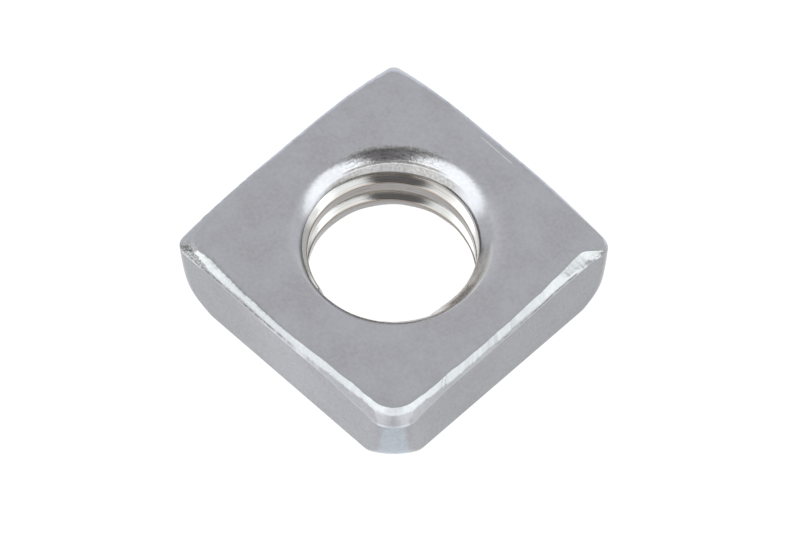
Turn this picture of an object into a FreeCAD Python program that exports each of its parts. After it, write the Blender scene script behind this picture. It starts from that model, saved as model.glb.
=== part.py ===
import FreeCAD, Part
import math
import os

# Square nut of the thin pattern, cold formed. Millimetres. The bearing face lies on z = 0, the
# thread axis is Z, and the flats face +X, -X, +Y and -Y. The rolled face is on top.

# Body
across_flats = 7.80
thickness = 2.32
top_corner_radius = 0.36
bottom_corner_radius = 1.28
corner_growth = 3.4
bottom_edge_radius = 0.06

# Rolled upper edge: it is narrow at the middle of each flat and wide at the corners, and the
# face falls away towards each corner.
corner_drop = 0.243
roll_width_middle = 0.112
roll_width_corner = 0.332
roll_depth_middle = 0.102
roll_depth_corner = 0.253
face_corner_radius = 0.65

# Hole
thread_size = 5.00
thread_pitch = 0.80
bore_allowance = 0.20
mouth_radius = 0.66
countersink_diameter = 5.10
countersink_angle = 90.0
thread_start_angle = 94.5

half = across_flats / 2.0
thread_depth = (1.0825 * thread_pitch - bore_allowance) / 2.0
bore_radius = thread_size / 2.0 - thread_depth
mouth_outer_radius = bore_radius + mouth_radius
flat_radius = (mouth_outer_radius + half - roll_width_middle) / 2.0
countersink_radius = countersink_diameter / 2.0
countersink_depth = (countersink_radius - bore_radius) / math.tan(math.radians(countersink_angle / 2.0))


def square_run(corner_radius):
    """Plan points of the rounded square, as eight runs: a flat, then the corner after it."""
    straight = half - corner_radius
    runs = []
    for quarter in range(4):
        flat = []
        for step in range(11):
            flat.append((half, straight * (step / 5.0 - 1.0)))
        corner = []
        for step in range(9):
            angle = math.radians(90.0 * step / 8.0)
            x = straight + corner_radius * math.cos(angle)
            y = straight + corner_radius * math.sin(angle)
            corner.append((x, y))
        turn = math.radians(90.0 * quarter)
        along = math.cos(turn)
        aside = math.sin(turn)
        for run in (flat, corner):
            runs.append([(x * along - y * aside, x * aside + y * along) for x, y in run])
    return runs


def cornerness(x, y):
    """0 at the middle of a flat, nearly 1 at a corner."""
    return max(0.0, (x * x + y * y) / (half * half) - 1.0)


def blend(middle, corner, share):
    return middle + (corner - middle) * share


def edge_through(points):
    curve = Part.BSplineCurve()
    curve.interpolate(points)
    return curve.toShape()


def ring(runs, place):
    """One closed ring of eight edges, where place gives the point in space of a plan point."""
    edges = []
    for run in runs:
        edges.append(edge_through([place(x, y) for x, y in run]))
    return Part.Wire(edges)


def wall_ring(share):
    """A ring of the upright wall, from its foot at share 0 to the start of the roll at share 1."""
    radius = blend(top_corner_radius, bottom_corner_radius, (1.0 - share) ** corner_growth)

    def place(x, y):
        near = cornerness(x, y)
        top = thickness - corner_drop * near - blend(roll_depth_middle, roll_depth_corner, near)
        return FreeCAD.Vector(x, y, top * share)

    return ring(square_run(radius), place)


def roll_end(near, width, depth):
    """Angle at which the roll meets the falling face with the same slope."""
    run = math.sqrt(1.0 + near) * half - flat_radius - width
    slope = 2.0 * corner_drop * near / run * width / depth
    return math.acos(slope / (1.0 - slope))


def roll_ring(share):
    """A ring of the rolled edge, from the wall at share 0 to the face at share 1."""
    radius = blend(top_corner_radius, face_corner_radius, math.sin(share * math.pi / 2.0) ** 2)

    def place(x, y):
        near = cornerness(x, y)
        width = blend(roll_width_middle, roll_width_corner, near)
        depth = blend(roll_depth_middle, roll_depth_corner, near)
        last = roll_end(near, width, depth)
        angle = share * last
        inset = width * (1.0 - math.cos(angle)) / (1.0 - math.cos(last))
        rise = depth * math.sin(angle) / math.sin(last)
        scale = (half - inset) / half
        return FreeCAD.Vector(x * scale, y * scale, thickness - corner_drop * near - depth + rise)

    return ring(square_run(radius), place)


def face_ring(share):
    """A ring of the falling face, from the roll at share 0 to the flat disc at share 1."""

    def place(x, y):
        near = cornerness(x, y)
        scale = (half - blend(roll_width_middle, roll_width_corner, near)) / half
        reach = math.hypot(x, y) * scale
        radius = blend(reach, flat_radius, share)
        turn = radius / math.hypot(x, y)
        return FreeCAD.Vector(x * turn, y * turn, thickness - corner_drop * near * (1.0 - share) ** 2)

    return ring(square_run(face_corner_radius), place)


def skin(rings):
    return Part.makeLoft(rings, False, False).Faces


def outer_faces():
    wall = skin([wall_ring(share) for share in (0.0, 0.07, 0.15, 0.25, 0.37, 0.5, 0.65, 0.82, 1.0)])
    faces = []
    for face in wall:
        box = face.BoundBox
        if min(box.XLength, box.YLength) < 1e-6:
            faces.append(Part.Face(face.OuterWire))
        else:
            faces.append(face)
    faces += skin([roll_ring(share / 6.0) for share in range(7)])
    faces += skin([face_ring(share / 4.0) for share in range(5)])
    return faces


def hole_faces():
    centre = FreeCAD.Vector(0, 0, 0)
    axis = FreeCAD.Vector(0, 0, 1)
    foot = FreeCAD.Vector(countersink_radius, 0, 0)
    low = FreeCAD.Vector(bore_radius, 0, countersink_depth)
    high = FreeCAD.Vector(bore_radius, 0, thickness - mouth_radius)
    bulge = mouth_radius * math.sqrt(0.5)
    middle = FreeCAD.Vector(mouth_outer_radius - bulge, 0, thickness - mouth_radius + bulge)
    lip = FreeCAD.Vector(mouth_outer_radius, 0, thickness)
    lines = [
        Part.LineSegment(foot, low).toShape(),
        Part.LineSegment(low, high).toShape(),
        Part.Arc(high, middle, lip).toShape(),
    ]
    faces = []
    for line in lines:
        faces += line.revolve(centre, axis, 360).Faces
    return faces


def plain_body():
    mouth = Part.Wire(Part.makeCircle(mouth_outer_radius, FreeCAD.Vector(0, 0, thickness)))
    foot = Part.Wire(Part.makeCircle(countersink_radius))
    top = Part.makeFace([face_ring(1.0), mouth], "Part::FaceMakerBullseye")
    bottom = Part.makeFace([wall_ring(0.0), foot], "Part::FaceMakerBullseye")
    shell = Part.Compound(outer_faces() + hole_faces() + [top, bottom])
    shell.sewShape(0.001)
    body = Part.makeSolid(shell.Shells[0])
    if body.Volume < 0:
        body.reverse()
    outline = []
    for edge in body.Edges:
        start = edge.Vertexes[0].Point
        if edge.BoundBox.ZMax < 0.0001 and math.hypot(start.x, start.y) > countersink_radius + 0.001:
            outline.append(edge)
    return body.makeFillet(bottom_edge_radius, outline)


def thread_tool():
    """The helical groove that cuts the thread: 60 degree flanks and a narrow flat at the root."""
    root_radius = thread_size / 2.0
    inner_radius = bore_radius - thread_depth / 2.0
    root_half = thread_pitch / 16.0
    inner_half = root_half + (root_radius - inner_radius) * math.tan(math.radians(30.0))
    spare_turns = 2
    turns = math.ceil(thickness / thread_pitch) + 2 * spare_turns
    edges = []
    for turn in range(turns):
        helix = Part.makeHelix(thread_pitch, thread_pitch, root_radius)
        helix.translate(FreeCAD.Vector(0, 0, (turn - spare_turns) * thread_pitch))
        edges += helix.Edges
    start = -spare_turns * thread_pitch
    corners = [
        FreeCAD.Vector(root_radius, 0, start - root_half),
        FreeCAD.Vector(root_radius, 0, start + root_half),
        FreeCAD.Vector(inner_radius, 0, start + inner_half),
        FreeCAD.Vector(inner_radius, 0, start - inner_half),
    ]
    profile = Part.makePolygon(corners + corners[:1])
    groove = Part.Wire(edges).makePipeShell([profile], True, True)
    groove.rotate(FreeCAD.Vector(0, 0, 0), FreeCAD.Vector(0, 0, 1), thread_start_angle)
    return groove


nut = plain_body().cut(thread_tool()).Solids[0]

os.makedirs("parts", exist_ok=True)
nut.exportStep("parts/square_nut.step")
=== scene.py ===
import math

import bpy
import numpy as np
from mathutils import Matrix, Vector, noise


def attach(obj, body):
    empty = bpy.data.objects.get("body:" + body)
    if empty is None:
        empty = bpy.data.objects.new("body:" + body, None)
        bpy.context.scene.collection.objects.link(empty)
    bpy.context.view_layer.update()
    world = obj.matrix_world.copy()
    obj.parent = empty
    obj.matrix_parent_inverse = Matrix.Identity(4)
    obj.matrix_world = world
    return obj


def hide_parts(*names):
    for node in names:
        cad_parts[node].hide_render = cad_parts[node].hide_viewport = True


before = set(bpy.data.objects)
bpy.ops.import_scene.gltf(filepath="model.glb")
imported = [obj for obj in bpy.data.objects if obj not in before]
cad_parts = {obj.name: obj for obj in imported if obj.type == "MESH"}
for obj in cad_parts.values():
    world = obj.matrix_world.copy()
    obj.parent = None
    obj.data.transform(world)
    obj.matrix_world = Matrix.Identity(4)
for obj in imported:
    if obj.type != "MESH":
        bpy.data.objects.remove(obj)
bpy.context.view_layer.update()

# Lengths are in millimetres and angles in degrees, unless a line says otherwise. MM turns a length
# into metres.
MM = 0.001
DIAGONAL = math.sqrt(0.5)

# The nut, as in the solid.
HALF = 3.90
THICK = 2.32
FOOT_BREAK = 0.06
SIZE = 5.00
PITCH = 0.80
ALLOWANCE = 0.20
MOUTH = 0.66
SINK_R = 2.55
START = 94.5
THREAD_DEPTH = (1.0825 * PITCH - ALLOWANCE) / 2.0
BORE = SIZE / 2.0 - THREAD_DEPTH
MOUTH_R = BORE + MOUTH
DISC_R = 3.05

# The four corners in turn: right, back, left, front. Each follows its flat: +X (front right),
# +Y (back right), -X (back left), -Y (front left).
CORNER_SIDES = ((1, 1), (-1, 1), (-1, -1), (1, -1))
CREASE_RADIUS = (0.32, 0.22, 0.33, 0.56)
FACE_RADIUS = (0.40, 0.55, 0.70, 0.95)
FOOT_RADIUS = (1.12, 1.28, 1.38, 0.72)
CREASE_FACET = (0.0, 0.0, 0.0, 0.10)
FOOT_FACET = (0.0, 0.0, 0.0, 0.25)
CORNER_DROP = (0.24, 0.24, 0.21, 0.12)
# The face falls towards each corner as the square of the way along the diagonal.
DROP_FROM, DROP_TO, DROP_MOST = 3.20, 5.15, 1.1
# A facet takes the middle two thirds of its corner's columns. Towards the foot a corner's radius and
# facet grow in two parts: one share all the way down, and the rest close to the foot.
FACET_FROM, FACET_TO = -0.25, 1.25
FLARE_SHARE, FLARE_SLOW, FLARE_FAST = 0.42, 1.35, 9
BULGE_POWER = 1.5

# The strip between the face and the wall: its width and depth at the middle of a back flat, its least
# width, and at each corner its width and depth and the width and slope of its bright chamfer.
STRIP_WIDTH_BACK, STRIP_DEPTH_BACK, STRIP_LEAST = 0.12, 0.08, 0.02
STRIP_WIDTH = (0.075, 0.20, 0.22, 0.19)
STRIP_DEPTH = (0.20, 0.28, 0.18, 0.57)
CHAMFER_WIDTH = (0.045, 0.10, 0.12, 0.100)
CHAMFER_SLOPE = (30.0, 40.0, 38.0, 49.0)

# The strip along the two front flats, a row for each place along the flat: the place, the strip's
# width, the width and the slope of its chamfer, how far its lower edge lies below the flat face and
# how far the wall bulges.
STRIP_RIGHT = (
    (-3.10, 0.165, 0.080, 54, 0.630, 0.000),
    (-2.84, 0.140, 0.068, 60, 0.575, 0.000),
    (-2.41, 0.125, 0.092, 67, 0.530, 0.000),
    (-1.99, 0.133, 0.101, 68, 0.450, 0.000),
    (-1.56, 0.101, 0.102, 68, 0.420, 0.010),
    (-1.13, 0.092, 0.099, 68, 0.410, 0.015),
    (-0.70, 0.086, 0.093, 68, 0.400, 0.015),
    (-0.28, 0.103, 0.101, 68, 0.390, 0.010),
    (0.15, 0.099, 0.100, 68, 0.385, 0.010),
    (0.58, 0.118, 0.108, 67, 0.395, 0.000),
    (1.01, 0.137, 0.120, 65, 0.390, 0.000),
    (1.43, 0.145, 0.130, 60, 0.365, 0.000),
    (1.86, 0.190, 0.170, 42, 0.340, 0.000),
    (2.29, 0.224, 0.205, 28, 0.330, 0.000),
    (2.76, 0.284, 0.255, 33, 0.300, 0.000),
    (3.00, 0.305, 0.260, 34, 0.310, 0.000),
    (3.17, 0.318, 0.180, 38, 0.330, 0.000),
    (3.42, 0.165, 0.080, 36, 0.400, 0.000),
)
STRIP_LEFT = (
    (-3.30, 0.235, 0.140, 38, 0.390, 0.000),
    (-3.02, 0.225, 0.150, 42, 0.400, 0.000),
    (-2.59, 0.163, 0.135, 50, 0.400, 0.000),
    (-2.17, 0.128, 0.105, 64, 0.395, 0.000),
    (-1.74, 0.080, 0.079, 68, 0.385, 0.010),
    (-1.31, 0.085, 0.080, 68, 0.370, 0.025),
    (-0.88, 0.062, 0.070, 68, 0.330, 0.055),
    (-0.46, 0.054, 0.062, 68, 0.310, 0.065),
    (-0.03, 0.047, 0.058, 68, 0.310, 0.065),
    (0.40, 0.059, 0.065, 68, 0.320, 0.060),
    (0.83, 0.084, 0.075, 68, 0.340, 0.045),
    (1.25, 0.112, 0.083, 68, 0.380, 0.025),
    (1.68, 0.121, 0.082, 68, 0.420, 0.010),
    (2.11, 0.136, 0.080, 67, 0.520, 0.000),
    (2.54, 0.180, 0.090, 62, 0.570, 0.000),
    (2.96, 0.170, 0.070, 56, 0.600, 0.000),
)
# Waviness of the strip's width (a share and a length), of its crease and, as a share, of its chamfer.
# It dies out on the way to the right corner.
EDGE_RAGGED, EDGE_RIPPLE, CREASE_RIPPLE, CHAMFER_RAGGED = 0.05, 0.005, 0.012, 0.07
CALM_FROM, CALM_TO = 4.0, 4.6
# How far from the middle, sideways, the burr line under the strip begins, is full, fades and ends.
BURR_FROM, BURR_FULL, BURR_FADE, BURR_TO = 2.3, 2.9, 4.6, 4.95
# The front sides' chamfer gives way to the back sides' round about the left and right corners. Its
# share of the strip's width and depth has a limit, and so has its waviness.
FRONT_FROM, FRONT_TO = -0.3, 0.3
CHAMFER_MOST_WIDTH, CHAMFER_MOST_DEPTH = 0.92, 0.85
CHAMFER_LEAST, CHAMFER_MOST = 0.7, 1.2
# At the back the strip turns through these angles: the least and the most, and how far its two ends
# are from the mean slope.
ROUND_LEAST, ROUND_MOST, ROUND_BEFORE, ROUND_AFTER = 16.0, 84.0, 14.0, 15.0

# The hole: the crests' radius and how far they lie off the axis to the right and to the back, and the
# heights between which they do; the slope at which the mouth's round ends, and the steeper wall under
# it on the front side.
CREST_R = 2.115
CREST_RIGHT, CREST_BACK = -0.045, 0.045
CREST_OFF_LOW, CREST_OFF_FROM, CREST_OFF_TO = 0.3, 1.75, 2.15
MOUTH_SLOPE_BACK, MOUTH_SLOPE_SIDE, MOUTH_SLOPE_FRONT = 49.0, 45.0, 85.0
# The mouth narrows to the crests between two depths, and the groove dies out between two heights.
LEAD_FROM, LEAD_TO = 0.50, 0.75
RUN_OUT_FROM, RUN_OUT_TO, GROOVE_DEEPEST = 1.93, 2.04, 0.5
GROOVE_SOFT, GROOVE_TAPS, LIP_ROUND, END_FADE = 0.022, 7, 0.018, 0.06

# The mesh: columns round the nut, and the rows of the skin from the mouth to the foot.
FLATS, TURNS = 180, 20
COLUMNS = 4 * (FLATS + TURNS)
DISC_SHARES = (0.0, 0.1, 0.4, 0.75)
FACE_ROWS, STRIP_ROWS, FOOT_ROWS = 12, 12, 5
WALL_SHARES = (0.985, 0.96, 0.9, 0.82, 0.73, 0.64, 0.55, 0.46, 0.38, 0.3, 0.23, 0.17, 0.12, 0.08,
               0.045, 0.02, 0.0)
UNDERSIDE_SHARES = (0.08, 0.3, 0.65, 1.0)
RIM_ROW = len(DISC_SHARES) + FACE_ROWS - 1
CREASE_ROW = RIM_ROW + STRIP_ROWS
FOOT_ROW = CREASE_ROW + len(WALL_SHARES) + FOOT_ROWS
CHAMFER_ROWS_SHARE = 0.5
# Rows of the hole: heights above and below each turn's middle line, between the level rows. They
# climb with the thread in the middle, and less and less towards both ends.
CREST_ROWS = (0, .03, .048, .075, .12, .165, .2, .222, .238, .254, .275, .32, .37)
LEVEL_LOW, LEVEL_HIGH, LEVEL_GAP, SINK_ROW, MOUTH_ROWS = 0.03, 2.24, 0.02, 0.012, 9
CLIMB_LOW, CLIMB_HIGH, CLIMB_FADE = 0.05, 2.22, 0.45
SEAM = -45.0


def mix(a, b, t):
    return a + (b - a) * t


def smooth(a, b, x):
    t = np.clip((x - a) / (b - a), 0.0, 1.0)
    return t * t * (3.0 - 2.0 * t)


def plan(radii, facets=(0.0,) * 4):
    """Plan points of the square, column by column. Each corner has its own radius and may have a
    short facet between two rounds; facets holds half its length."""
    out = []
    for k in range(4):
        start = HALF - radii[k - 1] - facets[k - 1] / DIAGONAL
        radius, cut = radii[k], facets[k] / DIAGONAL
        end = HALF - radius - cut
        side = np.linspace(-start, end, FLATS + 1)[:-1]
        turn = np.linspace(0.0, math.pi / 2.0, TURNS + 1)[:-1]
        far = np.clip(np.linspace(FACET_FROM, FACET_TO, TURNS + 1)[:-1], 0.0, 1.0) * cut
        x = np.concatenate([np.full(FLATS, HALF), HALF - radius - far + radius * np.cos(turn)])
        y = np.concatenate([side, end + far + radius * np.sin(turn)])
        c, s = round(math.cos(k * math.pi / 2)), round(math.sin(k * math.pi / 2))
        out.append(np.column_stack([x * c - y * s, x * s + y * c]))
    return np.concatenate(out)


def around(middle, corners, power):
    """A value for each column that goes from each flat's middle to its two corners."""
    out = []
    for k in range(4):
        t = np.concatenate([np.linspace(-1.0, 1.0, FLATS + 1)[:-1], np.ones(TURNS)])
        far = np.where(t < 0, corners[k - 1], corners[k])
        out.append(mix(middle if np.isscalar(middle) else middle[k], far, np.abs(t) ** (2 * power)))
    return np.concatenate(out)


def along(place, knots, which, ends):
    """Values for the columns of one flat, drawn softly through its knots and its two ends."""
    samples, taps, clear_low, clear_high = 601, 17, 0.1, 0.04
    low, high = place.min(), place.max()
    inner = [k for k in knots if low + clear_low < k[0] < high - clear_high]
    places = [low] + [k[0] for k in inner] + [high]
    values = [ends[0]] + [k[which] for k in inner] + [ends[1]]
    grid = np.linspace(low, high, samples)
    line = np.pad(np.interp(grid, places, values), taps // 2, mode="reflect", reflect_type="odd")
    return np.interp(place, grid, np.convolve(line, np.ones(taps) / taps, mode="valid"))


def outward_of(points):
    """Outward direction at each point of a closed row."""
    tangent = np.roll(points, -1, 0) - np.roll(points, 1, 0)
    return np.column_stack([tangent[:, 1], -tangent[:, 0]]) / np.hypot(*tangent.T)[:, None]


def drop_at(points):
    """How far the face has fallen at plan points: nothing at the flats, most at the corners."""
    total = np.zeros(len(points))
    for (a, b), deep in zip(CORNER_SIDES, CORNER_DROP):
        far = (points[:, 0] * a + points[:, 1] * b) * DIAGONAL
        total += deep * np.clip((far - DROP_FROM) / (DROP_TO - DROP_FROM), 0.0, DROP_MOST) ** 2
    return total


def wobble(points, scale, seed, octaves=3):
    """Smooth noise, about -1 to 1, at plan points. The seed moves it elsewhere in the same noise."""
    move = Vector((seed * 7.3, seed * 3.1, seed * 5.7))
    roughness, lacunarity = 0.6, 2.0
    spots = [Vector((x, y, 0.0)) * scale + move for x, y in points]
    return np.array([noise.fractal(spot, roughness, lacunarity, octaves) for spot in spots])


# The strip, column by column: its rim on the face, its crease on the wall and what lies between.
crease_plan = plan(CREASE_RADIUS, CREASE_FACET)
face_plan = plan(FACE_RADIUS)
outward = outward_of(crease_plan)
sideways = crease_plan.sum(1) * DIAGONAL
forward = (crease_plan[:, 0] - crease_plan[:, 1]) * DIAGONAL
strip_width = around(STRIP_WIDTH_BACK, STRIP_WIDTH, 1.0)
strip_depth = around(STRIP_DEPTH_BACK, STRIP_DEPTH, 1.7)
chamfer_width = around(CHAMFER_WIDTH, CHAMFER_WIDTH, 1.0)
chamfer_slope = around(CHAMFER_SLOPE, CHAMFER_SLOPE, 1.0)
bulge = np.zeros(COLUMNS)
crease_below = np.zeros(COLUMNS)
for side, knots, axis in ((0, STRIP_RIGHT, 1), (3, STRIP_LEFT, 0)):
    run = slice(side * (FLATS + TURNS), side * (FLATS + TURNS) + FLATS)
    place = crease_plan[run, axis]
    corners = (side - 1, side)
    strip_width[run] = along(place, knots, 1, [STRIP_WIDTH[k] for k in corners])
    chamfer_width[run] = along(place, knots, 2, [CHAMFER_WIDTH[k] for k in corners])
    chamfer_slope[run] = along(place, knots, 3, [CHAMFER_SLOPE[k] for k in corners])
    crease_below[run] = along(place, knots, 4, [CORNER_DROP[k] + STRIP_DEPTH[k] for k in corners])
    bulge[run] = along(place, knots, 5, [0.0, 0.0])
chamfer_slope = np.tan(np.radians(chamfer_slope))
calm = 1.0 - smooth(CALM_FROM, CALM_TO, sideways)
chamfer_teeth = 1.0 + CHAMFER_RAGGED * calm * wobble(crease_plan, 13.0, 6)
chamfer_teeth = np.clip(chamfer_teeth, CHAMFER_LEAST, CHAMFER_MOST)
crease_ripple = CREASE_RIPPLE * wobble(crease_plan, 5.0, 3)
strip_width = strip_width * (1.0 + EDGE_RAGGED * wobble(crease_plan, 3.2, 1, 4) * calm)
strip_width = strip_width + EDGE_RIPPLE * calm * wobble(crease_plan, 11.0, 2, 2)
rim_plan = face_plan - outward_of(face_plan) * strip_width[:, None]
rim_reach = np.hypot(*rim_plan.T)
rim_drop = drop_at(rim_plan)
strip_depth = np.where(crease_below > 0.0, crease_below - rim_drop, strip_depth)
# Where the dark burr line lies: in patches, on the outer part of the front flats.
burr = smooth(-0.45, 0.1, wobble(crease_plan, 1.6, 9)) * smooth(-0.5, 0.0, wobble(crease_plan, 7.0, 4, 2))
crease_plan = crease_plan + outward * bulge[:, None]
crease_aside = np.abs(crease_plan.sum(1)) * DIAGONAL
burr = burr * smooth(BURR_FROM, BURR_FULL, crease_aside) * smooth(BURR_TO, BURR_FADE, crease_aside)
burr = burr * (forward > 0)
strip_span = crease_plan - rim_plan
strip_across = np.hypot(*strip_span.T)
strip_square = np.maximum(STRIP_LEAST, (strip_span * outward).sum(1))


def round_strip(share):
    """How far out and down a row of the strip lies at the back, where it is one round."""
    mean = np.degrees(np.arctan2(strip_depth, strip_across))
    first = np.tan(np.radians(np.maximum(ROUND_LEAST, mean - ROUND_BEFORE)))
    last = np.tan(np.radians(np.minimum(ROUND_MOST, mean + ROUND_AFTER)))
    bend = (strip_across * last - strip_depth) / (last - first)
    run = 2 * share * (1 - share) * bend + share * share * strip_across
    down = 2 * share * (1 - share) * bend * first + share * share * strip_depth
    return run, down


def cut_strip(share):
    """The same at the front, where it is a chamfer with a ragged lower end over a steeper band."""
    cut = np.minimum(CHAMFER_MOST_WIDTH * strip_square, chamfer_width) * chamfer_teeth
    cut = np.minimum(cut, CHAMFER_MOST_DEPTH * strip_depth / chamfer_slope)
    upper = min(share / CHAMFER_ROWS_SHARE, 1.0)
    lower = max(0.0, (share - CHAMFER_ROWS_SHARE) / (1.0 - CHAMFER_ROWS_SHARE))
    run = (cut * upper + (strip_square - cut) * lower) * strip_across / strip_square
    down = cut * chamfer_slope * upper + (strip_depth - cut * chamfer_slope) * lower
    return run, down


def strip_row(share):
    """A row of the strip between the face (share 0) and the wall (share 1)."""
    front_side = smooth(FRONT_FROM, FRONT_TO, forward)
    run, down = [mix(a, b, front_side) for a, b in zip(round_strip(share), cut_strip(share))]
    p = rim_plan + strip_span * (run / strip_across)[:, None]
    return np.column_stack([p, THICK - rim_drop - down + crease_ripple * share])


def wall_row(share):
    """A row of the wall, from its foot at share 0 to the crease at share 1."""
    low = mix((1.0 - share) ** FLARE_FAST, (1.0 - share) ** FLARE_SLOW, FLARE_SHARE)
    radii = [mix(top, foot, low) for top, foot in zip(CREASE_RADIUS, FOOT_RADIUS)]
    facets = [mix(top, foot, low) for top, foot in zip(CREASE_FACET, FOOT_FACET)]
    p = plan(radii, facets) + outward * (bulge * share ** BULGE_POWER)[:, None]
    top = THICK - rim_drop - strip_depth + crease_ripple
    return np.column_stack([p, FOOT_BREAK + (top - FOOT_BREAK) * share])


def foot_row(angle):
    """A row of the small round under the wall, at an angle in radians."""
    p = plan(FOOT_RADIUS, FOOT_FACET)
    inset = FOOT_BREAK * (1.0 - math.cos(angle))
    height = FOOT_BREAK * (1.0 - math.sin(angle))
    return np.column_stack([p * (1.0 - inset / np.hypot(*p.T))[:, None], np.full(COLUMNS, height)])


def face_row(share):
    """A row of the face, from the strip at share 0 to the flat disc at share 1."""
    p = rim_plan * (mix(rim_reach, DISC_R, share) / rim_reach)[:, None]
    return np.column_stack([p, THICK - drop_at(p)])


def circle_row(radius, z):
    return np.column_stack([rim_plan * (radius / rim_reach)[:, None], np.full(COLUMNS, z)])


def skin_rows():
    rows = [circle_row(mix(MOUTH_R, DISC_R, t), THICK) for t in DISC_SHARES]
    rows += [face_row(1.0 - t) for t in np.linspace(0.0, 1.0, FACE_ROWS)]
    rows += [strip_row(t) for t in np.linspace(0.0, 1.0, STRIP_ROWS + 1)[1:]]
    rows += [wall_row(t) for t in WALL_SHARES]
    rows += [foot_row(a) for a in np.linspace(0.0, math.pi / 2, FOOT_ROWS + 1)[1:]]
    foot, ring = rows[-1], circle_row(SINK_R, 0.0)
    rows += [mix(foot, ring, t) for t in UNDERSIDE_SHARES]
    return np.array(rows)


def from_groove(theta, z):
    """Height above the middle line of the nearest turn of the groove."""
    return (z - PITCH * (theta - START) / 360.0 + PITCH / 2) % PITCH - PITCH / 2


def groove(offset):
    """Share of the thread's depth at a height above the groove's middle line, with soft edges."""
    root = PITCH / 16.0
    lip = root + THREAD_DEPTH * math.tan(math.radians(30.0))
    taps = np.linspace(-GROOVE_SOFT, GROOVE_SOFT, GROOVE_TAPS)
    total = np.zeros_like(offset)
    for tap in taps:
        x = np.abs((offset + tap + PITCH / 2) % PITCH - PITCH / 2)
        total += np.clip((lip - x) / (lip - root), 0.0, 1.0)
    return total / len(taps)


def mouth_radius(theta, z):
    """Radius of the mouth: a round from the face down, then a straight wall to the crests."""
    to_back = np.cos(np.radians(theta - 135.0))
    to_right = np.cos(np.radians(theta - 45.0))
    slope = np.radians(mix(MOUTH_SLOPE_SIDE, MOUTH_SLOPE_BACK, smooth(0.30, 0.85, to_back)))
    front_side = smooth(0.55, 0.95, -to_back - 0.25 * to_right)
    wall = mix(slope, math.radians(MOUTH_SLOPE_FRONT), front_side)
    drop = THICK - z
    turned = MOUTH * (1.0 - np.cos(slope))
    fall = np.clip(np.minimum(drop, turned) / MOUTH, 0.0, 1.0)
    radius = MOUTH_R - MOUTH * np.sqrt(np.maximum(0.0, 1.0 - (1.0 - fall) ** 2))
    radius = np.maximum(BORE, radius - np.maximum(0.0, drop - turned) / np.tan(wall))
    return radius - (BORE - CREST_R) * smooth(LEAD_FROM, LEAD_TO, drop)


def hole_radius(theta, z):
    """Radius of the hole, the widest of mouth, thread and countersink, and how far the thread is
    cut deeper than the other two."""
    offset = from_groove(theta, z)
    plain = np.maximum(mouth_radius(theta, z), SINK_R - z)
    cut = CREST_R + (SIZE / 2.0 - CREST_R) * groove(offset)
    deepest = mix(GROOVE_DEEPEST, 0.0, smooth(RUN_OUT_FROM, RUN_OUT_TO, z - offset))
    over = np.minimum(cut - plain, deepest)
    h = np.clip(0.5 + 0.5 * over / LIP_ROUND, 0.0, 1.0)
    radius = plain + over * h + LIP_ROUND * h * (1 - h)
    edge = np.clip(np.minimum(z, THICK - z) / END_FADE, 0.0, 1.0)
    return np.where(edge < 1.0, np.maximum(mix(plain, radius, edge), plain), radius), over


def hole_rows():
    """Rows of the hole. Those of the thread climb with it, and the outermost ones are level."""
    theta = np.degrees(np.arctan2(rim_plan[:, 1], rim_plan[:, 0]))
    turn = (theta - SEAM) % 360.0
    middle = PITCH * (SEAM - START) / 360.0 + PITCH / 2
    lines = [middle + k * PITCH + side * o for k in range(-6, 8) for o in CREST_ROWS for side in (-1, 1)]
    lines = sorted({round(x, 5) for x in lines if LEVEL_LOW + LEVEL_GAP < x < LEVEL_HIGH - LEVEL_GAP})
    last = math.acos(1.0 - (THICK - LEVEL_HIGH) / MOUTH)
    top = THICK - MOUTH * (1.0 - np.cos(np.linspace(last, 0.0, MOUTH_ROWS)))
    levels = np.concatenate([[0.0, SINK_ROW, LEVEL_LOW], lines, top])
    climb = np.clip((levels - CLIMB_LOW) / CLIMB_FADE, 0.0, 1.0)
    climb = climb * np.clip((CLIMB_HIGH - levels) / CLIMB_FADE, 0.0, 1.0)
    z = np.sort(levels[:, None] + climb[:, None] * (PITCH * (turn / 360.0 - 0.5))[None, :], axis=0)
    r, over = hole_radius(theta[None, :], z)
    off = (1.0 - smooth(CREST_OFF_FROM, CREST_OFF_TO, z)) * smooth(0.0, CREST_OFF_LOW, z)
    x = r * np.cos(np.radians(theta)) + off * (CREST_RIGHT - CREST_BACK) * DIAGONAL
    y = r * np.sin(np.radians(theta)) + off * (CREST_RIGHT + CREST_BACK) * DIAGONAL
    return np.stack([x, y, z], 2), over, theta, turn


def quads(count, following, columns):
    """Faces between each row and the next one, for some columns."""
    out = []
    for first in np.arange(count - 1) * COLUMNS:
        second = first + COLUMNS
        ring = (first + columns, first + following[columns], second + following[columns], second + columns)
        out.append(np.stack(ring, 1))
    return np.concatenate(out).tolist()


def make_mesh(name, rows, faces):
    mesh = bpy.data.meshes.new(name)
    mesh.from_pydata((rows.reshape(-1, 3) * MM).tolist(), [], faces)
    mesh.update()
    mesh.shade_smooth()
    return mesh


def put(mesh, name, values):
    layer = mesh.attributes.new(name, "FLOAT", "POINT")
    layer.data.foreach_set("value", np.asarray(values, dtype=np.float32).ravel())


def put_rows(mesh, name, count, first, last, values):
    """An attribute that is 0 except in the rows from first to last."""
    table = np.zeros((count, COLUMNS))
    table[first:last + 1] = values
    put(mesh, name, table)


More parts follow.
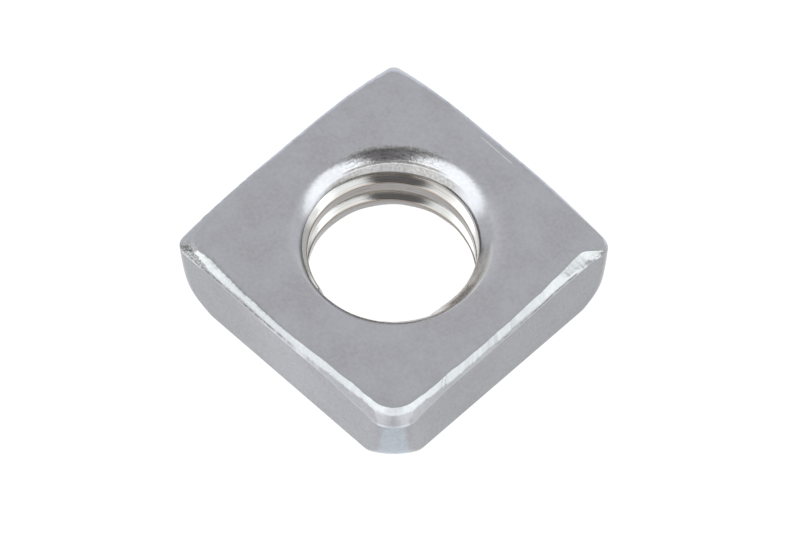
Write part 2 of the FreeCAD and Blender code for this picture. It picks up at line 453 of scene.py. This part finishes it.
def skin_mesh():
    rows = skin_rows()
    count = len(rows)
    every = np.arange(COLUMNS)
    mesh = make_mesh("nut_skin", rows, quads(count, np.roll(every, -1), every))
    ends = np.empty(len(mesh.edges) * 2, dtype=np.int64)
    mesh.edges.foreach_get("vertices", ends)
    ends = ends.reshape(-1, 2) // COLUMNS
    sharp = (ends[:, 0] == ends[:, 1]) & np.isin(ends[:, 0], (RIM_ROW, CREASE_ROW))
    mesh.attributes.new("sharp_edge", "BOOLEAN", "EDGE").data.foreach_set("value", sharp)
    shares = np.linspace(0.0, 1.0, STRIP_ROWS + 1)[:, None]
    put_rows(mesh, "strip", count, RIM_ROW, CREASE_ROW, shares)
    put_rows(mesh, "on_strip", count, RIM_ROW, CREASE_ROW, 1.0)
    put_rows(mesh, "burr", count, RIM_ROW, CREASE_ROW, burr)
    put_rows(mesh, "wall", count, CREASE_ROW + 1, FOOT_ROW, 1.0)
    return mesh


def seam_faces(z, last, first):
    """Triangles across the seam, where the climbing rows of one side meet those of the other."""
    count = len(z)
    left, right = [j * COLUMNS + last for j in range(count)], [j * COLUMNS + first for j in range(count)]
    faces = []
    a = b = 0
    while a < count - 1 or b < count - 1:
        if b == count - 1 or (a < count - 1 and z[a + 1, last] <= z[b + 1, first]):
            faces.append((left[a], right[b], left[a + 1]))
            a += 1
        else:
            faces.append((left[a], right[b], right[b + 1]))
            b += 1
    return faces


def hole_mesh():
    rows, over, theta, turn = hole_rows()
    z = rows[:, :, 2]
    order = np.argsort(turn)
    following = np.empty(COLUMNS, dtype=int)
    following[order] = np.roll(order, -1)
    last, first = order[-1], order[0]
    columns = np.delete(np.arange(COLUMNS), last)
    faces = quads(len(rows), following, columns) + seam_faces(z, last, first)
    mesh = make_mesh("nut_bore", rows, faces)
    offset = from_groove(theta[None, :], z)
    to_right = np.cos(np.radians(theta - 45.0))
    line_width = mix(0.010, 0.034, smooth(-0.3, 0.7, to_right))
    put(mesh, "away", np.abs(offset))
    put(mesh, "under", smooth(0.0, 0.06, offset))
    put(mesh, "threaded", smooth(-0.03, 0.02, over) * smooth(0.0, 0.1, z))
    put(mesh, "meeting", np.exp(-(over / line_width) ** 2) * smooth(1.5, 1.7, z) * smooth(2.12, 2.02, z))
    return mesh


def piece(name, mesh):
    part = bpy.data.objects.new(name, mesh)
    bpy.context.scene.collection.objects.link(part)
    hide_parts("square_nut")
    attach(part, "root")
    return part


def rgb(red, green, blue):
    return (red, green, blue, 1.0)


def grey(level):
    return (level, level, level, 1.0)


class Shader:
    """Short helpers for one node tree. A share is a value from 0 to 1 that says where a mark is."""

    def __init__(self, tree):
        self.tree = tree

    def node(self, kind, **settings):
        made = self.tree.nodes.new(kind)
        for name, value in settings.items():
            setattr(made, name, value)
        return made

    def plug(self, socket, value):
        if isinstance(value, bpy.types.NodeSocket):
            self.tree.links.new(value, socket)
        else:
            socket.default_value = value

    def math(self, kind, a, b=0.0, c=0.0):
        made = self.node("ShaderNodeMath", operation=kind)
        for socket, value in zip(made.inputs, (a, b, c)):
            self.plug(socket, value)
        return made.outputs[0]

    def both(self, *shares):
        """The product of all the shares."""
        product = shares[0]
        for share in shares[1:]:
            product = self.math("MULTIPLY", product, share)
        return product

    def add(self, value, factor, base):
        return self.math("MULTIPLY_ADD", value, factor, base)

    def jitter(self, texture, amount, base):
        """The base, moved to and fro by a texture that varies about a half."""
        return self.add(self.math("SUBTRACT", texture, 0.5), amount, base)

    def distance(self, value, target):
        return self.math("ABSOLUTE", self.math("SUBTRACT", value, target))

    def step(self, value, low, high, out_low=0.0, out_high=1.0):
        """Goes softly from out_low to out_high as the value goes from low to high."""
        made = self.node("ShaderNodeMapRange", interpolation_type="SMOOTHSTEP")
        for socket, item in zip(made.inputs, (value, low, high, out_low, out_high)):
            self.plug(socket, item)
        return made.outputs[0]

    def step_mm(self, value, low, high, out_low=0.0, out_high=1.0):
        """The same for a length in metres, with low and high in millimetres."""
        return self.step(value, low * MM, high * MM, out_low, out_high)

    def mix(self, share, a, b, blend="MIX"):
        made = self.node("ShaderNodeMix", data_type="RGBA", blend_type=blend)
        self.plug(made.inputs[0], share)
        self.plug(made.inputs[6], a)
        self.plug(made.inputs[7], b)
        return made.outputs[2]

    def vector(self, *parts):
        made = self.node("ShaderNodeCombineXYZ")
        for socket, part in zip(made.inputs, parts):
            self.plug(socket, part)
        return made.outputs[0]

    def parts(self, vector):
        made = self.node("ShaderNodeSeparateXYZ")
        self.plug(made.inputs[0], vector)
        return made.outputs

    def dot(self, vector, direction):
        made = self.node("ShaderNodeVectorMath", operation="DOT_PRODUCT")
        self.plug(made.inputs[0], vector)
        made.inputs[1].default_value = direction
        return made.outputs["Value"]

    def noise(self, vector, scale, detail, rough, stretch=None):
        if stretch:
            scaled = self.node("ShaderNodeVectorMath", operation="MULTIPLY")
            self.plug(scaled.inputs[0], vector)
            scaled.inputs[1].default_value = stretch
            vector = scaled.outputs[0]
        made = self.node("ShaderNodeTexNoise")
        self.plug(made.inputs["Vector"], vector)
        made.inputs["Scale"].default_value = scale
        made.inputs["Detail"].default_value = detail
        made.inputs["Roughness"].default_value = rough
        return made.outputs["Fac"]

    def attribute(self, name):
        return self.node("ShaderNodeAttribute", attribute_name=name).outputs["Fac"]


class Metal(Shader):
    """Plated steel with faint clouds and a fine grain, and torn, matt speckles round the back of the
    mouth. Positions on the nut are measured from its axis, in metres."""

    DARK_CLOUD = rgb(0.382, 0.379, 0.402)
    LIGHT_CLOUD = rgb(0.418, 0.424, 0.448)
    LIGHT_GRAIN = rgb(0.49, 0.50, 0.525)
    PALE_SPECKS = rgb(0.58, 0.58, 0.56)
    DARK_RING = rgb(0.27, 0.27, 0.26)
    DRAWN_LINES = rgb(0.22, 0.215, 0.20)
    BUMP_STRENGTH, BUMP_DISTANCE = 0.35, 0.008 * MM

    def __init__(self, name):
        self.material = bpy.data.materials.new(name)
        self.material.use_nodes = True
        super().__init__(self.material.node_tree)
        self.place = self.node("ShaderNodeTexCoord").outputs["Object"]
        self.x, self.y, self.z = self.parts(self.place)
        square = self.math("ADD", self.both(self.x, self.x), self.both(self.y, self.y))
        self.reach = self.math("SQRT", square)
        self.angle = self.math("ARCTAN2", self.y, self.x)
        self.to_right = self.add(self.x, DIAGONAL, self.both(self.y, DIAGONAL))
        self.to_back = self.add(self.x, -DIAGONAL, self.both(self.y, DIAGONAL))
        self.to_front = self.add(self.x, DIAGONAL, self.both(self.y, -DIAGONAL))
        self.rightness = self.math("DIVIDE", self.to_right, self.reach)
        self.backness = self.math("DIVIDE", self.to_back, self.reach)

        self.clouds = self.noise(self.place, scale=900.0, detail=3.0, rough=0.6)
        self.grain = self.noise(self.place, scale=11000.0, detail=3.0, rough=0.65)
        self.specks = self.noise(self.place, scale=12000.0, detail=4.0, rough=0.7)
        ringwise = self.vector(self.both(self.angle, 14.0), self.both(self.reach, 24000.0))
        self.drawn = self.noise(ringwise, scale=1.0, detail=3.0, rough=0.65)
        self.fringe = self.noise(ringwise, scale=3.0, detail=2.0, rough=0.6, stretch=(1.6, 0.12, 1.0))

        cloudy = self.step(self.clouds, 0.36, 0.64)
        self.colour = self.mix(cloudy, self.DARK_CLOUD, self.LIGHT_CLOUD)
        self.paint(self.step(self.grain, 0.34, 0.66, 0.0, 0.34), self.LIGHT_GRAIN)
        self.rough = self.step(self.clouds, 0.3, 0.7, 0.17, 0.24)
        self.height = self.both(self.grain, 0.25)
        # Painted sheen: the metal close to the right of the mouth, at the top, is lightened by a tenth.
        top_round = self.step_mm(self.z, 2.20, 2.26)
        beside = self.both(self.step(self.rightness, 0.82, 0.97), self.step_mm(self.reach, 3.00, 2.65))
        self.tone(self.both(beside, top_round), grey(1.10))

    def paint(self, share, colour):
        """Lays a colour over the metal."""
        self.colour = self.mix(share, self.colour, colour)

    def tone(self, share, factor):
        """Multiplies the metal's colour by a factor."""
        self.colour = self.mix(share, self.colour, factor, "MULTIPLY")

    def torn_mouth(self):
        """The torn ring: pale specks, a dark outer part right at the back, and drawing lines."""
        reach = self.jitter(self.fringe, 0.24 * MM, self.reach)
        torn = self.both(self.step_mm(reach, 2.30, 2.45), self.step_mm(reach, 2.77, 2.72))
        torn = self.both(torn, self.step_mm(self.z, 1.75, 1.90))
        middle = self.both(torn, self.step(self.jitter(self.specks, 0.16, self.backness), 0.84, 0.93))
        narrow = self.step(self.jitter(self.fringe, 0.10, self.backness), 0.89, 0.985)
        outer = self.both(torn, self.step_mm(reach, 2.56, 2.66), narrow)
        wide = self.both(torn, self.step(self.backness, 0.25, 0.6))
        self.paint(self.both(middle, self.step(self.drawn, 0.40, 0.62, 0.0, 0.375)), self.PALE_SPECKS)
        self.paint(self.both(outer, self.step(self.specks, 0.36, 0.56, 0.25, 0.85)), self.DARK_RING)
        self.paint(self.both(middle, self.step(self.drawn, 0.50, 0.40, 0.0, 0.55)), self.DRAWN_LINES)
        self.rough = self.add(wide, -0.05, self.rough)
        self.height = self.add(self.both(wide, self.specks), 1.6, self.height)

    def finish(self):
        """Adds the marks of the mouth, plugs everything in and gives the material."""
        self.torn_mouth()
        bump = self.node("ShaderNodeBump")
        bump.inputs["Strength"].default_value = self.BUMP_STRENGTH
        bump.inputs["Distance"].default_value = self.BUMP_DISTANCE
        self.plug(bump.inputs["Height"], self.height)
        bsdf = self.tree.nodes["Principled BSDF"]
        bsdf.inputs["Metallic"].default_value = 1.0
        self.plug(bsdf.inputs["Base Color"], self.colour)
        self.plug(bsdf.inputs["Roughness"], self.rough)
        self.plug(bsdf.inputs["Normal"], bump.outputs[0])
        return self.material


class BoreMetal(Metal):
    """The metal of the hole, with a tapped thread and a turned mouth."""

    FLANK = rgb(0.345, 0.345, 0.335)
    PALE_CREST = rgb(0.36, 0.34, 0.325)
    BROWN_CREST = rgb(0.21, 0.18, 0.16)
    CREST_EDGE = rgb(0.30, 0.235, 0.195)
    THREAD_END = rgb(0.58, 0.45, 0.37)
    STREAK = rgb(0.25, 0.22, 0.20)
    # Painted highlights: pale colours for the flanks that face down and for those beside the hole.
    DOWN_FLANK_HIGHLIGHT = rgb(0.92, 0.84, 0.76)
    SIDE_FLANK_HIGHLIGHT = rgb(0.80, 0.80, 0.78)
    DULL_BAND = rgb(0.225, 0.215, 0.205)
    MOUTH_BURR = rgb(0.10, 0.085, 0.07)
    # Turned lines painted pale as highlights, and painted shade for the right of the mouth's front side.
    TURNED_LINE_HIGHLIGHT = rgb(0.92, 0.90, 0.88)
    RIGHT_MOUTH_SHADE = rgb(0.62, 0.61, 0.60)

    def thread(self):
        """Brownish crests with darker edges, streaks along the flanks, and flanks painted paler as
        highlights where they face down or stand beside the hole."""
        away = self.attribute("away")
        threaded = self.attribute("threaded")
        crest_edge = 0.238
        crest = self.both(self.step(away, 0.225, 0.245), threaded)
        edge = self.both(self.step(self.distance(away, crest_edge), 0.026, 0.004), threaded)
        round_hole, up_flank = self.both(self.angle, 0.35), self.both(away, 26.0)
        threadwise = self.vector(round_hole, up_flank, self.both(self.z, 200.0))
        streak = self.noise(threadwise, scale=2.4, detail=4.0, rough=0.7)
        land = self.mix(self.step(streak, 0.38, 0.62), self.PALE_CREST, self.BROWN_CREST)
        self.paint(self.both(threaded, 0.8), self.FLANK)
        self.paint(self.both(crest, 0.9), land)
        self.paint(self.both(edge, self.step(streak, 0.35, 0.6, 0.25, 0.8)), self.CREST_EDGE)
        meeting = self.both(self.attribute("meeting"), self.step(self.specks, 0.3, 0.6, 0.35, 0.85))
        self.paint(meeting, self.THREAD_END)
        self.paint(self.both(threaded, self.step(streak, 0.48, 0.62, 0.0, 0.55)), self.STREAK)
        # Painted highlight on the flanks that face down.
        under = self.both(threaded, self.attribute("under"), self.step(away, 0.245, 0.225))
        self.paint(under, self.DOWN_FLANK_HIGHLIGHT)
        # Painted highlight on the flanks beside the hole, weaker at the far left.
        beside = self.both(threaded, self.step(self.math("ABSOLUTE", self.rightness), 0.55, 0.98))
        beside = self.both(beside, self.step(away, 0.240, 0.215))
        beside = self.both(beside, self.step(self.rightness, -0.97, -0.90, 0.15, 1.0))
        self.paint(beside, self.SIDE_FLANK_HIGHLIGHT)
        self.rough = self.add(threaded, -0.09, self.rough)
        self.height = self.add(self.both(threaded, streak), 0.6, self.height)
        self.plain = self.math("SUBTRACT", 1.0, threaded)

    def mouth(self):
        """A dull band and a burr under the back of the mouth, turned lines on its front side painted pale
        as highlights, and painted shade on its right.
        """
        band = self.both(self.step_mm(self.z, 2.105, 2.085), self.step_mm(self.z, 1.86, 1.90))
        band = self.both(band, self.step(self.backness, 0.55, 0.8), self.plain)
        self.paint(self.both(band, self.step(self.specks, 0.3, 0.7, 0.5, 0.95)), self.DULL_BAND)
        burr_height = self.distance(self.jitter(self.drawn, 0.03 * MM, self.z), 2.13 * MM)
        burr = self.both(self.step_mm(burr_height, 0.030, 0.012), self.step(self.backness, 0.80, 0.92))
        self.paint(self.both(burr, self.step(self.drawn, 0.35, 0.55, 0.3, 0.9)), self.MOUTH_BURR)
        below_top = self.step_mm(self.z, 2.26, 2.20)
        front = self.both(self.step(self.backness, -0.05, -0.30), self.plain)
        front = self.both(front, below_top, self.step_mm(self.z, 1.2, 1.6))
        # Turned lines on the front side of the mouth, painted pale as highlights; they are also rougher.
        turned = self.both(front, self.step(self.drawn, 0.35, 0.60, 0.65, 1.0))
        turned = self.both(turned, self.step(self.rightness, 0.10, 0.62, 0.18, 1.0))
        self.paint(turned, self.TURNED_LINE_HIGHLIGHT)
        # Painted shade on the right of the mouth's front side, over a reflection of the side panel.
        self.tone(self.both(front, self.step(self.rightness, 0.80, 0.95)), self.RIGHT_MOUTH_SHADE)
        # Painted shade under the top of the mouth's round on the right.
        right = self.both(self.step(self.rightness, 0.80, 0.95), self.step(self.backness, 0.05, -0.10))
        self.tone(self.both(right, below_top, self.step_mm(self.z, 2.05, 2.15)), grey(0.78))
        self.rough = self.add(turned, 0.30, self.rough)


class SkinMetal(Metal):
    """The metal of the outside: plain face, walls darkened by painted shade, and the bright torn strip
    between them.
    """

    # Painted shade factors for the front walls: the right one lighter towards the front, the left one
    # darker towards the left.
    RIGHT_WALL_FRONT_SHADE = rgb(0.83, 0.83, 0.845)
    RIGHT_WALL_SHADE = rgb(0.71, 0.71, 0.725)
    LEFT_WALL_LEFT_SHADE = rgb(0.79, 0.79, 0.80)
    LEFT_WALL_SHADE = rgb(0.85, 0.85, 0.865)
    BRIGHT = rgb(0.385, 0.398, 0.408)
    BRIGHT_DRAGGED = rgb(0.44, 0.445, 0.45)
    FEATHER = rgb(0.74, 0.74, 0.75)
    # Painted highlight along the crease.
    CREASE_HIGHLIGHT = rgb(0.47, 0.49, 0.53)
    PALE_END = rgb(0.50, 0.50, 0.51)
    DARK_END = rgb(0.13, 0.13, 0.12)
    RIGHT_END = rgb(0.26, 0.26, 0.255)
    CREASE_BURR = rgb(0.11, 0.105, 0.10)

    def walls(self):
        """Painted shade: each front wall is a little darker than the face, and not evenly so along its
        length.
        """
        wall = self.attribute("wall")
        right = self.both(wall, self.step_mm(self.x, 3.80, 3.89))
        left = self.both(wall, self.step_mm(self.y, -3.80, -3.89))
        from_front, from_left = self.step_mm(self.y, -3.8, -1.5), self.step_mm(self.x, -3.0, 0.5)
        self.tone(right, self.mix(from_front, self.RIGHT_WALL_FRONT_SHADE, self.RIGHT_WALL_SHADE))
        self.tone(left, self.mix(from_left, self.LEFT_WALL_LEFT_SHADE, self.LEFT_WALL_SHADE))
        self.tone(wall, self.mix(self.step(self.specks, 0.36, 0.64), grey(0.93), grey(1.05)))

    def scratch(self):
        """One fine scratch on the face, beside its back right edge."""
        off_line = self.distance(self.add(self.x, 0.012, self.y), 3.665 * MM)
        along_line = self.math("ABSOLUTE", self.x)
        scratch = self.both(self.step_mm(off_line, 0.016, 0.006), self.step_mm(along_line, 0.58, 0.50))
        scratch = self.both(scratch, self.step_mm(self.z, 2.0, 2.2))
        scratch = self.both(scratch, self.step(self.grain, 0.30, 0.50, 0.3, 0.9))
        self.paint(scratch, grey(0.70))

    def strip(self):
        """The bright upper part of the strip on the front sides, painted shade and highlight on the band
        under it by the front corner, a painted highlight on the right hook and along the crease, and the
        rough ends at the left and the right corner."""
        strip = self.attribute("strip")
        on_strip = self.attribute("on_strip")
        sideways = self.math("ABSOLUTE", self.to_right)
        # Painted shade on the band by the front corner, and a painted highlight just beside it.
        corner = self.both(on_strip, self.step(strip, 0.50, 0.60), self.step_mm(self.to_front, 4.4, 4.7))
        self.tone(self.both(corner, self.step_mm(sideways, 0.48, 0.40)), grey(0.82))
        self.tone(self.both(corner, self.step_mm(sideways, 0.38, 0.47)), grey(1.08))

        drag = self.noise(self.place, scale=9000.0, detail=3.0, rough=0.6, stretch=(1.0, 1.0, 0.3))
        front_strip = self.both(on_strip, self.step_mm(self.to_front, -0.1, 0.1))
        bright = self.both(front_strip, self.step(self.jitter(drag, 0.25, strip), 0.56, 0.50))
        self.paint(bright, self.BRIGHT)
        self.paint(self.both(bright, self.step(drag, 0.45, 0.65, 0.0, 0.5)), self.BRIGHT_DRAGGED)
        # Painted highlight: the bright part is lightened a little towards the right corner.
        self.tone(self.both(bright, self.step_mm(self.to_right, 3.9, 4.5)), grey(1.02))
        feather = self.both(bright, self.step(strip, 0.24, 0.04), self.step(drag, 0.44, 0.56))
        feather = self.both(feather, self.step_mm(self.y, -3.3, -3.6), self.step_mm(self.x, 0.4, -0.6))
        self.tone(feather, self.FEATHER)
        # Painted highlight: a pale bluish line along the crease.
        self.paint(self.both(front_strip, self.step(strip, 0.90, 0.97, 0.0, 0.8)), self.CREASE_HIGHLIGHT)

        fine = self.noise(self.place, scale=20000.0, detail=3.0, rough=0.7)
        pale = self.both(front_strip, self.step_mm(self.to_right, -4.6, -4.9))
        self.paint(self.both(pale, self.step(fine, 0.35, 0.60, 0.2, 0.7)), self.PALE_END)
        from_corner = self.both(self.math("ADD", self.to_right, 5.0 * MM), 450.0)
        lower = self.step(self.math("SUBTRACT", self.jitter(fine, 0.6, strip), from_corner), 0.30, 0.44)
        dark = self.both(front_strip, self.step_mm(self.to_right, -4.2, -5.0), lower)
        dark = self.both(dark, self.step(strip, 1.0, 0.92))
        self.paint(self.both(dark, self.step(fine, 0.42, 0.55, 0.2, 0.88)), self.DARK_END)
        right_end = self.both(front_strip, self.step_mm(self.to_right, 4.8, 5.2))
        right_end = self.both(right_end, self.step(strip, 0.25, 0.45))
        self.paint(self.both(right_end, self.step(fine, 0.40, 0.58, 0.1, 0.9)), self.RIGHT_END)
        burr = self.both(self.attribute("burr"), self.step(strip, 0.64, 0.72), self.step(strip, 0.88, 0.80))
        self.paint(self.both(burr, self.step(drag, 0.35, 0.6, 0.25, 0.8)), self.CREASE_BURR)
        self.rough = self.add(dark, 0.30, self.rough)
        self.height = self.add(self.both(bright, drag), 1.6, self.height)


def skin_material():
    metal = SkinMetal("plated_skin")
    metal.walls()
    metal.scratch()
    metal.strip()
    return metal.finish()


def bore_material():
    metal = BoreMetal("plated_bore")
    metal.thread()
    metal.mouth()
    return metal.finish()


skin = piece("nut_skin", skin_mesh())
skin.data.materials.append(skin_material())
bore = piece("nut_bore", hole_mesh())
bore.data.materials.append(bore_material())

# The camera looks along the diagonal, from far off with a long lens. AIM_RIGHT and AIM_DOWN are how
# far it is moved sideways, and AIM_HEIGHT how high above the table it aims, as shares of the nut's
# width. Its clip distances are in metres.
AZIMUTH, ELEVATION = math.radians(45.0), math.radians(58.11)
WIDTH = 2.0 * HALF * MM
DISTANCE = 28.0 * WIDTH
FOCAL_PIXELS, PHOTO_WIDTH, SENSOR = 8671.2, 800.0, 36.0
AIM_RIGHT, AIM_DOWN, AIM_HEIGHT = 0.0202, 0.0144, 0.147
CLIP_START, CLIP_END = 0.01, 10.0
right = Vector((math.cos(AZIMUTH), math.sin(AZIMUTH), 0.0))
front = Vector((math.sin(AZIMUTH), -math.cos(AZIMUTH), 0.0))
back = front * math.cos(ELEVATION) + Vector((0.0, 0.0, math.sin(ELEVATION)))
up = back.cross(right)

# The glow of the floor left, right, in the wedge and out of view, and the light of the studio.
FLOOR_LEFT = rgb(1.02, 1.025, 1.025)
FLOOR_RIGHT = rgb(1.01, 1.015, 1.01)
FLOOR_WEDGE = rgb(1.00, 1.08, 1.13)
FLOOR_BEHIND = rgb(1.14, 1.20, 1.32)
FLOOR_AHEAD = rgb(1.95, 2.0, 2.0)
DARK_WALL = rgb(0.285, 0.275, 0.275)
LOW_AHEAD = rgb(1.90, 1.95, 1.95)
CEILING = rgb(0.90, 0.90, 0.91)
LOW_BEHIND = rgb(1.12, 1.16, 1.26)
FAR_ASIDE = rgb(0.97, 0.98, 0.99)
SIDE_PANEL = rgb(2.2, 2.25, 2.24)


def place_camera():
    data = bpy.data.cameras.new("camera")
    data.sensor_width = SENSOR
    data.lens = FOCAL_PIXELS * SENSOR / PHOTO_WIDTH
    data.clip_start = CLIP_START
    data.clip_end = CLIP_END
    camera = bpy.data.objects.new("camera", data)
    bpy.context.scene.collection.objects.link(camera)
    spot = Vector((0.0, 0.0, AIM_HEIGHT * WIDTH)) + back * DISTANCE
    spot = spot + right * (AIM_RIGHT * WIDTH) - up * (AIM_DOWN * WIDTH)
    camera.matrix_world = Matrix.Translation(spot) @ Matrix((right, up, back)).transposed().to_4x4()
    bpy.context.scene.camera = camera


def floor_material():
    """A white table that glows evenly in view. It is bluer in a wedge before the front corner, and
    brighter out of view, which the nut's walls and edges mirror."""
    material = bpy.data.materials.new("pale_floor")
    material.use_nodes = True
    s = Shader(material.node_tree)
    place = s.node("ShaderNodeTexCoord").outputs["Object"]
    ahead = s.dot(place, front)
    sideways = s.dot(place, right)
    colour = s.mix(s.step_mm(sideways, -2.0, 2.0), FLOOR_LEFT, FLOOR_RIGHT)
    wedge = s.math("SUBTRACT", s.add(ahead, 0.4, -1.55 * MM), s.math("ABSOLUTE", sideways))
    wedge = s.both(s.step_mm(wedge, -0.05, 0.12), s.step_mm(ahead, 7.2, 6.4))
    colour = s.mix(wedge, colour, FLOOR_WEDGE)
    x, y, z = s.parts(place)
    far = s.step_mm(s.math("MAXIMUM", s.math("ABSOLUTE", x), s.math("ABSOLUTE", y)), 7.0, 8.4)
    beyond = s.mix(s.step_mm(ahead, -2.0, 2.0), FLOOR_BEHIND, FLOOR_AHEAD)
    colour = s.mix(far, colour, beyond)
    bsdf = material.node_tree.nodes["Principled BSDF"]
    bsdf.inputs["Base Color"].default_value = grey(0.04)
    bsdf.inputs["Roughness"].default_value = 0.9
    bsdf.inputs["Specular IOR Level"].default_value = 0.0
    s.plug(bsdf.inputs["Emission Color"], colour)
    bsdf.inputs["Emission Strength"].default_value = 1.0
    return material


def lay_floor():
    """A plain floor, just under the nut's flat underside so that the two don't coincide."""
    reach, under = 2.0, -0.01 * MM
    mesh = bpy.data.meshes.new("pale_floor")
    corners = [(x * reach, y * reach, under) for x, y in ((-1, -1), (1, -1), (1, 1), (-1, 1))]
    mesh.from_pydata(corners, [], [(0, 1, 2, 3)])
    mesh.materials.append(floor_material())
    floor = bpy.data.objects.new("pale_floor", mesh)
    bpy.context.scene.collection.objects.link(floor)


def light_studio():
    """Soft light from all round, with a dark wall in front, a pale ceiling and a bright panel on
    each side. Heights are angles in the upright plane of view: 0 level in front, 90 overhead, 180
    level behind."""
    world = bpy.data.worlds.new("studio")
    bpy.context.scene.world = world
    world.use_nodes = True
    s = Shader(world.node_tree)
    ray = s.node("ShaderNodeTexCoord").outputs["Generated"]
    to_right = s.dot(ray, right)
    to_front = s.dot(ray, front)
    to_top = s.dot(ray, (0.0, 0.0, 1.0))
    height = s.math("DEGREES", s.math("ARCTAN2", to_top, to_front))
    aside = s.distance(to_right, 0.03)
    sky = s.mix(s.step(height, 26.0, 40.0), LOW_AHEAD, DARK_WALL)
    sky = s.mix(s.step(height, 92.0, 101.0), sky, CEILING)
    low_behind = s.both(s.step(height, 168.0, 176.0), s.step(aside, 0.2, 0.3))
    sky = s.mix(low_behind, sky, LOW_BEHIND)
    sky = s.mix(s.step(aside, 0.35, 0.60), sky, FAR_ASIDE)
    panel = s.both(s.step(aside, 0.25, 0.37), s.step(to_front, -0.23, -0.07))
    sky = s.mix(panel, sky, SIDE_PANEL)
    background = world.node_tree.nodes["Background"]
    s.plug(background.inputs["Color"], sky)
    background.inputs["Strength"].default_value = 1.0


place_camera()
lay_floor()
light_studio()
view = bpy.context.scene.view_settings
view.view_transform = "Standard"
view.look = "None"
